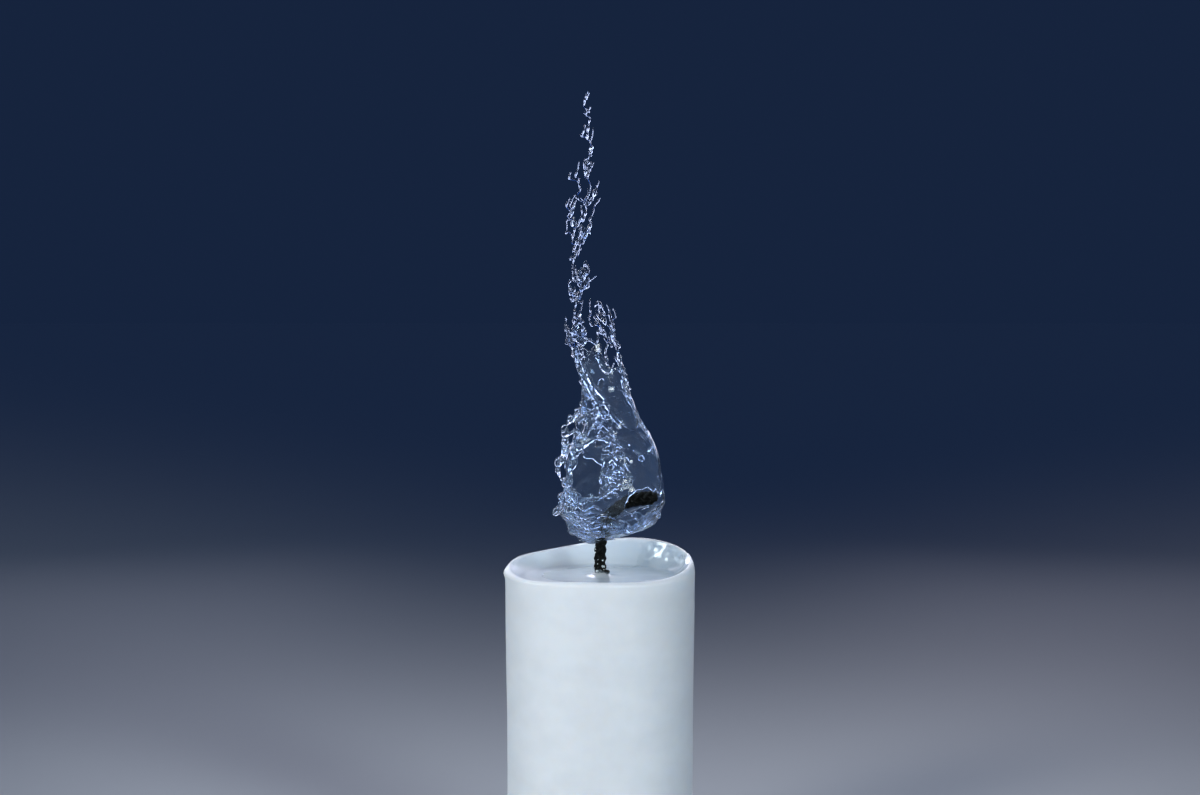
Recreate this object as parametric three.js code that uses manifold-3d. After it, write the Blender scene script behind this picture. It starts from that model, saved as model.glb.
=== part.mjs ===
// A melted pillar candle: a wax body whose top has burnt down to a lopsided rim round a shallow pool,
// a braided wick that hooks over to one side, the steel sustainer that anchors the wick in the base,
// and a splash of water that stands round the wick in the shape of a flame.
// Millimetres, +Z up, origin at the centre of the base, +Y at the back where the rim is highest.
import * as THREE from "three";
import { mergeVertices } from "three/addons/utils/BufferGeometryUtils.js";
import Module from "manifold-3d";

// ---- driving dimensions ----
const BASE_RADIUS = 25; // a 50 mm pillar candle
const POOL_HEIGHT = 92; // flat of the melted pool above the base
const POOL_RADIUS = 19.6; // where the pool meets the inner wall
const SOFTENED_RADIUS = 25.45; // the wall spread a little where it was warm
const SOFTENED_DEPTH = 50; // how far down that spread fades out
const CREST_RADIUS = 24.4; // the rim's highest line
const WICK_RADIUS = 1.55;
const FIT_GAP = 0.3; // between the wick and whatever surrounds it
const SUSTAINER_RADIUS = 9;
const SUSTAINER_SHEET = 0.5;
const SUSTAINER_LIFT = 0.2; // the sustainer sits this far inside the base
const NECK_HEIGHT = 6.5;
const NECK_WALL = 0.6;
const SPLASH_FOOT = 9; // lowest point of the water above the pool
const SPLASH_HEIGHT = 129.5; // highest point of the water above the pool

const WAX_AROUND = 72; // facets round each piece
const WICK_AROUND = 10;
const CHANNEL_AROUND = 12;
const SUSTAINER_AROUND = 48;
const SPLASH_AROUND = 30;

// The rim's height above the pool: its mean, then [amplitude, times round, where it peaks in degrees].
const RIM_MEAN = 3.34;
const RIM_WAVES = [
  [2.9, 1, 69],
  [0.65, 2, 58],
  [0.38, 3, 40],
  [0.23, 4, -15],
];
// A softened lip that hangs out over the wall on the left.
const LIP = { reach: 0.5, degrees: 183, spread: 24, height: 0.8, depth: 1.1 };
const MENISCUS_HEIGHT = 0.7; // wax drawn up round the wick

const radians = THREE.MathUtils.degToRad;
const bell = (x, width) => Math.exp(-((x / width) ** 2));

const angleBetween = (a, b) => Math.atan2(Math.sin(a - b), Math.cos(a - b));

const rimHeight = (angle) =>
  RIM_WAVES.reduce(
    (sum, [size, times, peak]) => sum + size * Math.cos(times * (angle - radians(peak))),
    RIM_MEAN,
  );

// Turns a Y-up lathe so that its axis is +Z.
const lathe = (profile, around) =>
  new THREE.LatheGeometry(
    profile.map(([radius, height]) => new THREE.Vector2(radius, height)),
    around,
  ).rotateX(Math.PI / 2);

function moveVertices(geometry, place) {
  const position = geometry.getAttribute("position");
  const point = new THREE.Vector3();
  for (let i = 0; i < position.count; i++) {
    place(point.fromBufferAttribute(position, i));
    position.setXYZ(i, point.x, point.y, point.z);
  }
  geometry.computeVertexNormals();
  return geometry;
}

// ---- wax body ----
function waxBody() {
  const hole = WICK_RADIUS + FIT_GAP;
  const neckHole = hole + NECK_WALL + FIT_GAP;
  const recess = SUSTAINER_RADIUS + FIT_GAP;
  const recessTop = SUSTAINER_LIFT + SUSTAINER_SHEET + FIT_GAP;
  const neckTop = recessTop + NECK_HEIGHT;
  // Heights above POOL_HEIGHT run from 0 to 1 here, and are stretched to the rim's height afterwards.
  const rim = [
    [SOFTENED_RADIUS, 0.15],
    [SOFTENED_RADIUS - 0.1, 0.45],
    [SOFTENED_RADIUS - 0.4, 0.75],
    [CREST_RADIUS + 0.25, 0.94],
    [CREST_RADIUS, 1],
    [CREST_RADIUS - 0.45, 0.96],
    [CREST_RADIUS - 1.1, 0.78],
    [CREST_RADIUS - 1.9, 0.5],
    [CREST_RADIUS - 2.9, 0.24],
    [CREST_RADIUS - 3.9, 0.08],
    [POOL_RADIUS, 0],
  ].map(([radius, height]) => [radius, POOL_HEIGHT + height]);
  const outerWall = [4, 20, POOL_HEIGHT - SOFTENED_DEPTH, 62, 76, 86, 89.5].map((z) => [
    wallRadius(z),
    z,
  ]);
  const profile = [
    [recess, recessTop],
    [recess, 0],
    [BASE_RADIUS - 0.8, 0],
    [BASE_RADIUS - 0.2, 0.25],
    [BASE_RADIUS, 1],
    ...outerWall,
    ...rim,
    [12, POOL_HEIGHT - 0.25],
    [hole + 2.6, POOL_HEIGHT - 0.2],
    [hole + 1.1, POOL_HEIGHT],
    [hole + 0.4, POOL_HEIGHT + MENISCUS_HEIGHT / 2],
    [hole, POOL_HEIGHT + MENISCUS_HEIGHT],
    [hole, neckTop],
    [neckHole, neckTop],
    [neckHole, recessTop],
    [recess, recessTop],
  ];
  return moveVertices(lathe(profile, WAX_AROUND), (p) => {
    const angle = Math.atan2(p.y, p.x);
    const radius = Math.hypot(p.x, p.y);
    const above = p.z - POOL_HEIGHT;
    if (above > 0 && radius > POOL_RADIUS) p.z = POOL_HEIGHT + above * rimHeight(angle);
    if (radius < CREST_RADIUS + 0.1) return;
    const fromLip = angleBetween(angle, radians(LIP.degrees));
    const out =
      LIP.reach *
      bell(fromLip, radians(LIP.spread)) *
      bell(p.z - POOL_HEIGHT - LIP.height, LIP.depth);
    p.x *= 1 + out / radius;
    p.y *= 1 + out / radius;
  });
}

// The wall is straight at the base and spreads smoothly towards the top.
function wallRadius(z) {
  const share = THREE.MathUtils.smoothstep(z, POOL_HEIGHT - SOFTENED_DEPTH, POOL_HEIGHT);
  return THREE.MathUtils.lerp(BASE_RADIUS, SOFTENED_RADIUS, share);
}

// ---- wick ----
// Where the braid runs: straight up the wax, then over to the right, towards the front.
const WICK_FOOT = 0.5;
const WICK_STEPS = 80;
const wickPath = new THREE.CatmullRomCurve3(
  [
    [0, 0, WICK_FOOT],
    [0, 0, POOL_HEIGHT / 3],
    [0, 0, (2 * POOL_HEIGHT) / 3],
    [0, 0, POOL_HEIGHT - 4],
    [0, 0, POOL_HEIGHT],
    [0.15, 0, POOL_HEIGHT + 5],
    [0.3, -0.1, POOL_HEIGHT + 9],
    [0.9, -0.3, POOL_HEIGHT + 12.6],
    [2.7, -0.8, POOL_HEIGHT + 16],
    [5.6, -1.4, POOL_HEIGHT + 18.9],
    [9.8, -1.9, POOL_HEIGHT + 20.5],
    [15.2, -2.2, POOL_HEIGHT + 21.2],
  ].map((p) => new THREE.Vector3(...p)),
);

// A round bar along a path.
const bar = (radius, path, around) =>
  new THREE.ExtrudeGeometry(new THREE.Shape().absarc(0, 0, radius, 0, 2 * Math.PI), {
    steps: WICK_STEPS,
    curveSegments: around / 2,
    bevelEnabled: false,
    extrudePath: path,
  });

const wick = () => bar(WICK_RADIUS, wickPath, WICK_AROUND);

// The space that the wick needs in the water: a little wider, and a little past its free end.
function wickChannel() {
  const end = wickPath.getPoint(1).addScaledVector(wickPath.getTangent(1), 2 * FIT_GAP);
  const path = new THREE.CatmullRomCurve3([...wickPath.points, end]);
  return bar(WICK_RADIUS + FIT_GAP, path, CHANNEL_AROUND);
}

// ---- sustainer ----
// A stamped disc with a neck that is crimped round the wick.
function sustainer() {
  const bore = WICK_RADIUS + FIT_GAP;
  const low = SUSTAINER_LIFT;
  const top = low + SUSTAINER_SHEET;
  const profile = [
    [bore, low],
    [SUSTAINER_RADIUS - 0.15, low],
    [SUSTAINER_RADIUS, low + 0.15],
    [SUSTAINER_RADIUS, top],
    [bore + NECK_WALL + 0.25, top],
    [bore + NECK_WALL, top + 0.25],
    [bore + NECK_WALL, top + NECK_HEIGHT - 0.15],
    [bore + NECK_WALL - 0.15, top + NECK_HEIGHT],
    [bore, top + NECK_HEIGHT],
    [bore, low],
  ];
  return lathe(profile, SUSTAINER_AROUND);
}

// ---- water ----
// The splash's outline seen from the front: height above the pool, then its left and right edges.
const SPLASH_OUTLINE = [
  [SPLASH_FOOT, -0.6, 1.2],
  [9.6, -4.6, 6.2],
  [11.4, -7.6, 11.2],
  [15, -10.4, 14.8],
  [20, -11.3, 16.9],
  [26, -11.5, 17.4],
  [32, -11, 16.6],
  [38, -8.9, 14.6],
  [44, -6.6, 11.8],
  [51, -6.2, 8.9],
  [60, -8.6, 5.6],
  [68, -9.6, 3.2],
  [76, -9.1, -0.6],
  [84, -7.6, -2.4],
  [93, -8.6, -1.9],
  [101, -8.4, -0.9],
  [106, -5.4, -0.2],
  [113, -4.8, -1.8],
  [122, -4.5, -2.5],
  [SPLASH_HEIGHT, -3.9, -3.1],
];
const SPLASH_RINGS = 46;
const BULB_TOP = 44; // below this the splash is nearly round, and above it is a flatter veil
const BULB_DEPTH = 0.86; // its depth as a share of its width
const VEIL_DEPTH = 0.62;

function splashCurve(column) {
  return new THREE.CatmullRomCurve3(
    SPLASH_OUTLINE.map((row) => new THREE.Vector3(row[column], 0, row[0])),
  );
}

function splashBody() {
  const left = splashCurve(1);
  const right = splashCurve(2);
  const rings = [];
  for (let i = 0; i <= SPLASH_RINGS; i++) {
    const l = left.getPoint(i / SPLASH_RINGS);
    const r = right.getPoint(i / SPLASH_RINGS);
    rings.push({ z: (l.z + r.z) / 2, centre: (l.x + r.x) / 2, half: (r.x - l.x) / 2 });
  }
  // Each ring has its own height, so a ring is found again by its number in the lathe's profile.
  const last = rings.length - 1;
  const profile = [[0, 0], ...rings.map((ring, i) => [ring.half, i]), [0, last]];
  return moveVertices(lathe(profile, SPLASH_AROUND), (p) => {
    const ring = rings[Math.round(p.z)];
    const flat = THREE.MathUtils.smoothstep(ring.z, BULB_TOP - 8, BULB_TOP + 16);
    p.x += ring.centre;
    p.y *= THREE.MathUtils.lerp(BULB_DEPTH, VEIL_DEPTH, flat);
    p.z = POOL_HEIGHT + ring.z;
  });
}

// ---- solids ----
const wasm = await Module();
wasm.setup();

function solid(geometry) {
  const bare = geometry.clone();
  bare.deleteAttribute("normal");
  bare.deleteAttribute("uv");
  const merged = mergeVertices(bare, 1e-3);
  return new wasm.Manifold(
    new wasm.Mesh({
      numProp: 3,
      vertProperties: new Float32Array(merged.attributes.position.array),
      triVerts: new Uint32Array(merged.index.array),
    }),
  );
}

function geometryOf(manifold) {
  const mesh = manifold.getMesh();
  return new THREE.BufferGeometry()
    .setAttribute("position", new THREE.BufferAttribute(mesh.vertProperties, 3))
    .setIndex(new THREE.BufferAttribute(mesh.triVerts, 1));
}

// The wick runs into the splash, so the water is cut away round it.
const splash = () => geometryOf(solid(splashBody()).subtract(solid(wickChannel())));

function part(name, geometry, colour, roughness, metalness = 0) {
  const material = new THREE.MeshStandardMaterial({ color: colour, roughness, metalness });
  const mesh = new THREE.Mesh(geometry, material);
  mesh.name = name;
  return mesh;
}

const water = part("water_flame", splash(), 0xb9c6ec, 0.05);
water.material.transparent = true;
water.material.opacity = 0.4;

const candle = new THREE.Group();
candle.add(
  part("wax_body", waxBody(), 0xd1dbe3, 0.38),
  part("wick", wick(), 0x17181a, 0.75),
  part("wick_sustainer", sustainer(), 0xb8babd, 0.35, 0.9),
  water,
);

export default candle;
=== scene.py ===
"""A melted pillar candle with a splash of water where its flame would be.

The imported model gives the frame: where the base, the pool, the wick and the splash are. This script
builds the surfaces round it: the wax with its lopsided rim and glossy pool, the charred braid of the
wick, the tinned sustainer in the base, and the water's films, ropes, streaks and bubbles.
Shapes are worked out in millimetres and become metres as each mesh is made.
"""

import itertools
import math

import bpy
import numpy as np
from bpy.props import FloatProperty, FloatVectorProperty, IntProperty, PointerProperty
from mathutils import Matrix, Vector, kdtree, noise


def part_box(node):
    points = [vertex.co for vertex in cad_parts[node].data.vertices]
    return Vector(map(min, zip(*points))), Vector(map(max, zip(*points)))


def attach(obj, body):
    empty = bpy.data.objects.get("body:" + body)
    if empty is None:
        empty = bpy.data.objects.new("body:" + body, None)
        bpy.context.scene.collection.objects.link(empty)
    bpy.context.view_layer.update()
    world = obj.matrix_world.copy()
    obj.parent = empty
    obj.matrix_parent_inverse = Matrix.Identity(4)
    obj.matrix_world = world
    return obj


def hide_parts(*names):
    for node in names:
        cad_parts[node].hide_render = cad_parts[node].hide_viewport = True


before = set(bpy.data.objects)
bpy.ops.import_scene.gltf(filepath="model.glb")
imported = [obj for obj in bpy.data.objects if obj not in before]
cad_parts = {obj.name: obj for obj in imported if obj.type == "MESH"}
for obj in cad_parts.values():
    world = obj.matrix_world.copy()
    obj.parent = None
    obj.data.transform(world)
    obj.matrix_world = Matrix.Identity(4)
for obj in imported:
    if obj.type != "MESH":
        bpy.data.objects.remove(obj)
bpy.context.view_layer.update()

bl_info = {
    "name": "Melted Candle",
    "version": (1, 0, 0),
    "blender": (4, 5, 0),
    "location": "View3D > Sidebar > Candle",
    "description": "Builds a melted pillar candle with a splash of water for its flame",
    "category": "Object",
}

MM = 0.001

# ---- what the frame says, in millimetres ----
WAX_LOW, WAX_HIGH = (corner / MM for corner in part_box("wax_body"))
WATER_LOW, WATER_HIGH = (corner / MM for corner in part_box("water_flame"))
SUSTAINER_LOW, SUSTAINER_HIGH = (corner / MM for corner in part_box("wick_sustainer"))

# The rim's height above the pool: its mean, then (amplitude, times round, where it peaks in degrees).
RIM_MEAN = 3.34
RIM_WAVES = ((2.9, 1, 69), (0.65, 2, 58), (0.38, 3, 40), (0.23, 4, -15))


def rim_height(angle):
    """How far the wax's rim stands above the pool at an angle, or at an array of angles."""
    return RIM_MEAN + sum(
        size * np.cos(times * (angle - math.radians(peak))) for size, times, peak in RIM_WAVES
    )


POOL = WAX_HIGH.z - rim_height(np.linspace(0, 2 * math.pi, 721)).max()
SOFTENED_RADIUS = (WAX_HIGH.y - WAX_LOW.y) / 2
SPLASH_TOP = WATER_HIGH.z - POOL


# ---- settings that a user would change ----
def length(name, description, millimetres):
    return FloatProperty(
        name=name,
        description=description,
        default=millimetres * MM,
        min=0,
        precision=5,
        unit="LENGTH",
        subtype="DISTANCE",
    )


def colour(name, description, value):
    return FloatVectorProperty(
        name=name, description=description, default=value, size=3, min=0, max=1, subtype="COLOR"
    )


class CandleWaxSettings(bpy.types.PropertyGroup):
    base_radius: length("Base radius", "Radius of the candle at its base", 25)
    pool_radius: length("Pool radius", "Where the pool meets the inner wall", 19.6)
    unevenness: length("Unevenness", "How far the outer wall strays from round", 0.09)
    wall_ripple: length("Wall ripple", "How far the melted inner wall ripples", 0.42)
    facets: IntProperty(name="Facets", description="Faces round the wax", default=288, min=24)
    colour: colour("Wax", "Colour of the solid wax", (0.745, 0.787, 0.822))
    # The melted colour is partly painted shade, darker than melted wax alone.
    melted_and_shade_colour: colour("Melted wax", "Colour of the wax that has melted", (0.4, 0.47, 0.535))


class CandleWickSettings(bpy.types.PropertyGroup):
    thickness: length("Thickness", "Thickness of the braid", 3.36)
    strand: length("Strand", "Thickness of one strand of the braid", 0.92)
    lay: length("Lay", "How far a strand runs in one turn round the braid", 9)
    strands: IntProperty(name="Strands", description="Strands each way", default=4, min=2)
    char: colour("Char", "Colour of the burnt cotton", (0.0022, 0.0026, 0.0024))
    # The pale specks that take this colour are partly painted glints.
    ash: colour("Ash", "Colour of the specks of wax and ash on it", (0.55, 0.6, 0.62))


class CandleSplashSettings(bpy.types.PropertyGroup):
    film: length("Film", "Thickness of the water's films", 0.42)
    rope: length("Rope", "Radius of the ropes at the edges of the films", 0.3)
    detail: length("Detail", "Size of the cells that the water is worked out on", 0.2)
    triangles: IntProperty(name="Triangles", description="Most triangles in the water", default=190000)
    seed: IntProperty(name="Seed", description="Changes the water's small ripples", default=7)
    tint: colour("Tint", "Tint of the water", (0.66, 0.82, 1.0))


class CandleStageSettings(bpy.types.PropertyGroup):
    lens: FloatProperty(
        name="Lens", description="Focal length", default=85, min=10, subtype="DISTANCE_CAMERA"
    )
    distance: length("Distance", "From the camera to the point that it looks at", 757)
    above_pool: length("Above pool", "Height of that point above the pool", 47.7)
    pitch: FloatProperty(
        name="Pitch", description="How far the camera looks down", default=math.radians(4.54), subtype="ANGLE"
    )
    floor: colour("Floor", "Colour of the floor", (0.5, 0.52, 0.55))
    backdrop: colour("Backdrop", "Colour of the dim light at the horizon", (0.0082, 0.0175, 0.047))
    overhead: colour("Overhead", "Colour of the dim light from above", (0.018, 0.036, 0.09))


# ---- curves and meshes ----
CURVE_SAMPLES = 24  # between one point of a curve and the next


def smoothstep(value, low, high):
    t = np.clip((np.asarray(value, float) - low) / (high - low), 0, 1)
    return t * t * (3 - 2 * t)


def bell(value, width):
    return np.exp(-((value / width) ** 2))


def turn_between(a, b):
    """The angle from b to a, from -180 to 180 degrees."""
    return np.arctan2(np.sin(a - b), np.cos(a - b))


def along(points, step):
    """A smooth line through the points, as points a step apart."""
    p = np.array(points, float)
    ends = (2 * p[0] - p[1], 2 * p[-1] - p[-2])
    p = np.vstack((ends[0], p, ends[1]))
    t = np.linspace(0, 1, CURVE_SAMPLES, endpoint=False)[:, None]
    line = [
        0.5 * (2 * b + (c - a) * t + (2 * a - 5 * b + 4 * c - d) * t**2 + (3 * (b - c) + d - a) * t**3)
        for a, b, c, d in zip(p, p[1:], p[2:], p[3:])
    ]
    line = np.vstack((*line, p[-2]))
    run = np.concatenate(([0], np.cumsum(np.linalg.norm(np.diff(line, axis=0), axis=1))))
    stops = np.linspace(0, run[-1], max(2, round(run[-1] / step) + 1))
    return np.stack([np.interp(stops, run, line[:, axis]) for axis in range(line.shape[1])], axis=1)


def full_turn(steps):
    """The angles of so many points evenly round a circle."""
    return np.linspace(0, 2 * math.pi, steps, endpoint=False)


def make_object(name, mesh):
    made = bpy.data.objects.new(name, mesh)
    bpy.context.scene.collection.objects.link(made)
    return made


def mesh_of(name, points, faces):
    """A smooth-shaded mesh from points in millimetres."""
    mesh = bpy.data.meshes.new(name)
    mesh.from_pydata((np.asarray(points) * MM).tolist(), [], np.asarray(faces).tolist())
    mesh.shade_smooth()
    mesh.validate()
    return mesh


def set_attribute(mesh, name, values):
    """Stores a value for each point, for the materials to read."""
    made = mesh.attributes.new(name, "FLOAT", "POINT")
    made.data.foreach_set("value", np.asarray(values, np.float32).ravel())


def take_place_of(made, node):
    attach(made, "root")
    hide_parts(node)


# ---- node trees ----
def feed(tree, node, **values):
    """Sets a node's inputs, or links sockets to them: by name or, as _0, by number."""
    for name, value in values.items():
        socket = node.inputs[int(name[1:])] if name[0] == "_" else node.inputs[name.replace("_", " ")]
        if isinstance(value, bpy.types.NodeSocket):
            tree.links.new(value, socket)
        else:
            socket.default_value = value


def add(tree, kind, settings=None, **values):
    """Adds a node. settings are its own properties, and values go to its inputs."""
    made = tree.nodes.new(kind)
    for name, value in (settings or {}).items():
        setattr(made, name, value)
    feed(tree, made, **values)
    return made


def maths(tree, operation, a, b=0.0, c=0.0):
    return add(tree, "ShaderNodeMath", {"operation": operation}, _0=a, _1=b, _2=c).outputs[0]


def vector_maths(tree, operation, a, b):
    return add(tree, "ShaderNodeVectorMath", {"operation": operation}, _0=a, _1=b).outputs[0]


def scaled(tree, vector, factor):
    return add(tree, "ShaderNodeVectorMath", {"operation": "SCALE"}, _0=vector, Scale=factor).outputs[0]


def map_range(tree, value, span, onto, kind="LINEAR"):
    """A value that runs over one span, brought onto another."""
    made = add(tree, "ShaderNodeMapRange", {"interpolation_type": kind}, _0=value)
    feed(tree, made, _1=span[0], _2=span[1], _3=onto[0], _4=onto[1])
    return made.outputs[0]


def mixed(tree, factor, a, b):
    """A mix of two colours."""
    return add(tree, "ShaderNodeMix", {"data_type": "RGBA"}, _0=factor, _6=a, _7=b).outputs[2]


def object_place(tree):
    return add(tree, "ShaderNodeTexCoord").outputs["Object"]


def noise_node(tree, place, scale, detail):
    return add(tree, "ShaderNodeTexNoise", Vector=place, Scale=scale, Detail=detail).outputs


def stored(tree, name):
    """The value of an attribute of the mesh."""
    return add(tree, "ShaderNodeAttribute", {"attribute_name": name}).outputs["Fac"]


def feed_bump(tree, shader, height, strength, distance):
    """Bumps a shader's surface. distance is in metres."""
    bump = add(tree, "ShaderNodeBump", Strength=strength, Distance=distance, Height=height)
    feed(tree, shader, Normal=bump.outputs["Normal"])


def material_tree(name):
    """A new material, its tree and its Principled shader."""
    material = bpy.data.materials.new(name)
    material.use_nodes = True
    tree = material.node_tree
    return material, tree, tree.nodes["Principled BSDF"]


def opaque(rgb):
    return (*rgb, 1.0)


def ramp(tree, factor, *stops):
    """A colour ramp from (position, colour) stops. A number stands for a grey."""
    made = add(tree, "ShaderNodeValToRGB", _0=factor)
    elements = made.color_ramp.elements
    while len(elements) < len(stops):
        elements.new(0.5)
    for element, (position, value) in zip(elements, stops):
        element.position = position
        element.color = opaque(value) if hasattr(value, "__len__") else (value, value, value, 1)
    return made.outputs["Color"]


BROAD_SHARE, FINE_SHARE = 0.7, 0.3  # of the mottle's value


def mottle_group():
    """Soft unevenness at two scales, for wax and metal: a value round 0.5, and a height for bump."""
    group = bpy.data.node_groups.new("Mottle", "ShaderNodeTree")
    for name, value in (("Scale", 60.0), ("Stretch", 0.5), ("Fine", 8.0)):
        group.interface.new_socket(name, in_out="INPUT", socket_type="NodeSocketFloat").default_value = value
    for name in ("Value", "Height"):
        group.interface.new_socket(name, in_out="OUTPUT", socket_type="NodeSocketFloat")
    into = group.nodes.new("NodeGroupInput").outputs
    place = object_place(group)
    stretch = add(group, "ShaderNodeCombineXYZ", X=1.0, Y=1.0, Z=into["Stretch"]).outputs[0]
    broad = noise_node(group, vector_maths(group, "MULTIPLY", place, stretch), into["Scale"], 2.0)[0]
    fine = noise_node(group, place, maths(group, "MULTIPLY", into["Scale"], into["Fine"]), 3.0)[0]
    both = maths(
        group,
        "ADD",
        maths(group, "MULTIPLY", broad, BROAD_SHARE),
        maths(group, "MULTIPLY", fine, FINE_SHARE),
    )
    add(group, "NodeGroupOutput", Value=both, Height=fine)
    return group


def mottle(tree, **values):
    group = bpy.data.node_groups.get("Mottle") or mottle_group()
    made = tree.nodes.new("ShaderNodeGroup")
    made.node_tree = group
    for name, value in values.items():
        made.inputs[name].default_value = value
    return made.outputs


# ---- wax ----
CREST_RADIUS = SOFTENED_RADIUS - 1.05  # the rim's highest line
FIT_GAP = 0.3  # between the wax and the wick or the sustainer
WICK_HOLE = 1.85
NECK_ROOM = 0.9  # what the sustainer's neck needs round the wick's hole
DISC_ROOM = 0.8  # and what its disc needs above its underside
SOFTENED_DEPTH = 50  # how far below the pool the wall's spread begins
OUTSIDE_STEP, RIM_STEP = 1.2, 0.28  # between the section's points

# The rim's section from the outer wall over the crest to the pool: how far outside the crest each point
# is, and its share of the rim's height.
RIM_SECTION = (
    (0.28, 0.94),
    (0, 1.0),
    (-0.4, 0.97),
    (-1.05, 0.8),
    (-1.85, 0.52),
    (-2.8, 0.26),
    (-3.8, 0.09),
)

# The softened lip that hangs out over the wall on the left.
LIP_REACH, LIP_AT, LIP_SPREAD = 0.5, math.radians(183), math.radians(24)
LIP_HEIGHT, LIP_DEPTH = 0.8, 1.1

# Where the wax has run down the inner wall, on the right, and where painted shade darkens the inner wall
# most, at the right-back.
RUN_AT, RUN_SPREAD = math.radians(18), math.radians(42)
WALL_SHADE_AT, WALL_SHADE_SPREAD = math.radians(45), math.radians(60)

# The crescent of wax that has set on the left of the wick: radius, width, spread round it and height.
CRESCENT_RADIUS, CRESCENT_WIDTH, CRESCENT_SPREAD, CRESCENT_HEIGHT = 3.3, 0.55, 0.85, 0.17
# The small pit behind the lip.
PIT_AT, PIT_RADIUS, PIT_WIDTH, PIT_SPREAD, PIT_DEPTH = math.radians(172), 24.2, 0.7, 0.055, 0.55
POOL_WAVE = 0.05  # how far the set pool is from flat
POOL_MELT_AND_SHADE = 0.72  # how far the pool takes the melted colour, which is partly painted shade, from 0 to 1


def wax_section(settings):
    """A closed section of the wax, from the sustainer's recess round the outside and down the wick's hole.

    Each point has a radius, a height and the share of the rim's height that is added to it.
    """
    base = settings.base_radius / MM
    pool = settings.pool_radius / MM
    recess = SUSTAINER_HIGH.x + FIT_GAP
    recess_top = SUSTAINER_LOW.z + DISC_ROOM
    neck_top = SUSTAINER_HIGH.z + FIT_GAP
    neck = WICK_HOLE + NECK_ROOM
    outside = [(base - 0.8, 0, 0), (base - 0.22, 0.22, 0), (base, 0.8, 0)]
    for height in np.linspace(3, POOL - 2.5, 34):
        spread = smoothstep(height, POOL - SOFTENED_DEPTH, POOL)
        outside.append((base + (SOFTENED_RADIUS - base) * spread, height, 0))
    rim = [
        (SOFTENED_RADIUS, POOL - 1.0, 0.0),
        (SOFTENED_RADIUS, POOL, 0.15),
        (SOFTENED_RADIUS - 0.1, POOL, 0.45),
        (SOFTENED_RADIUS - 0.4, POOL, 0.76),
        *[(CREST_RADIUS + out, POOL, share) for out, share in RIM_SECTION],
        (pool, POOL, 0.0),
        (pool - 3, POOL - 0.2, 0),
        (12, POOL - 0.25, 0),
        (7, POOL - 0.25, 0),
        (WICK_HOLE + 2.6, POOL - 0.2, 0),
        (WICK_HOLE + 1.1, POOL, 0),
        (WICK_HOLE + 0.4, POOL + 0.35, 0),
        (WICK_HOLE, POOL + 0.7, 0),
    ]
    under = [(recess, recess_top, 0), (recess, 0, 0), (base - 3, 0, 0)]
    inside = [(WICK_HOLE, neck_top, 0), (neck, neck_top, 0), (neck, recess_top, 0)]
    return np.vstack((under, along(outside, OUTSIDE_STEP), along(rim, RIM_STEP), inside))


def wall_wave(x, y, z):
    """How far the outer wall strays from round at a point, from -1 to 1."""
    broad = noise.noise((x / 16, y / 16, z / 11))
    small = noise.noise((x / 5 + 7, y / 5, z / 3.2))
    return (broad + 0.28 * small) * smoothstep(z, 0.5, 6)


def run_wave(turn, z):
    """The ripple of the wax that has run down the inner wall."""
    return noise.noise((turn * 5.2, z / 2.1, 3.1)) + 0.5 * noise.noise((turn * 13, z / 1.1, 9.4))


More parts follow.
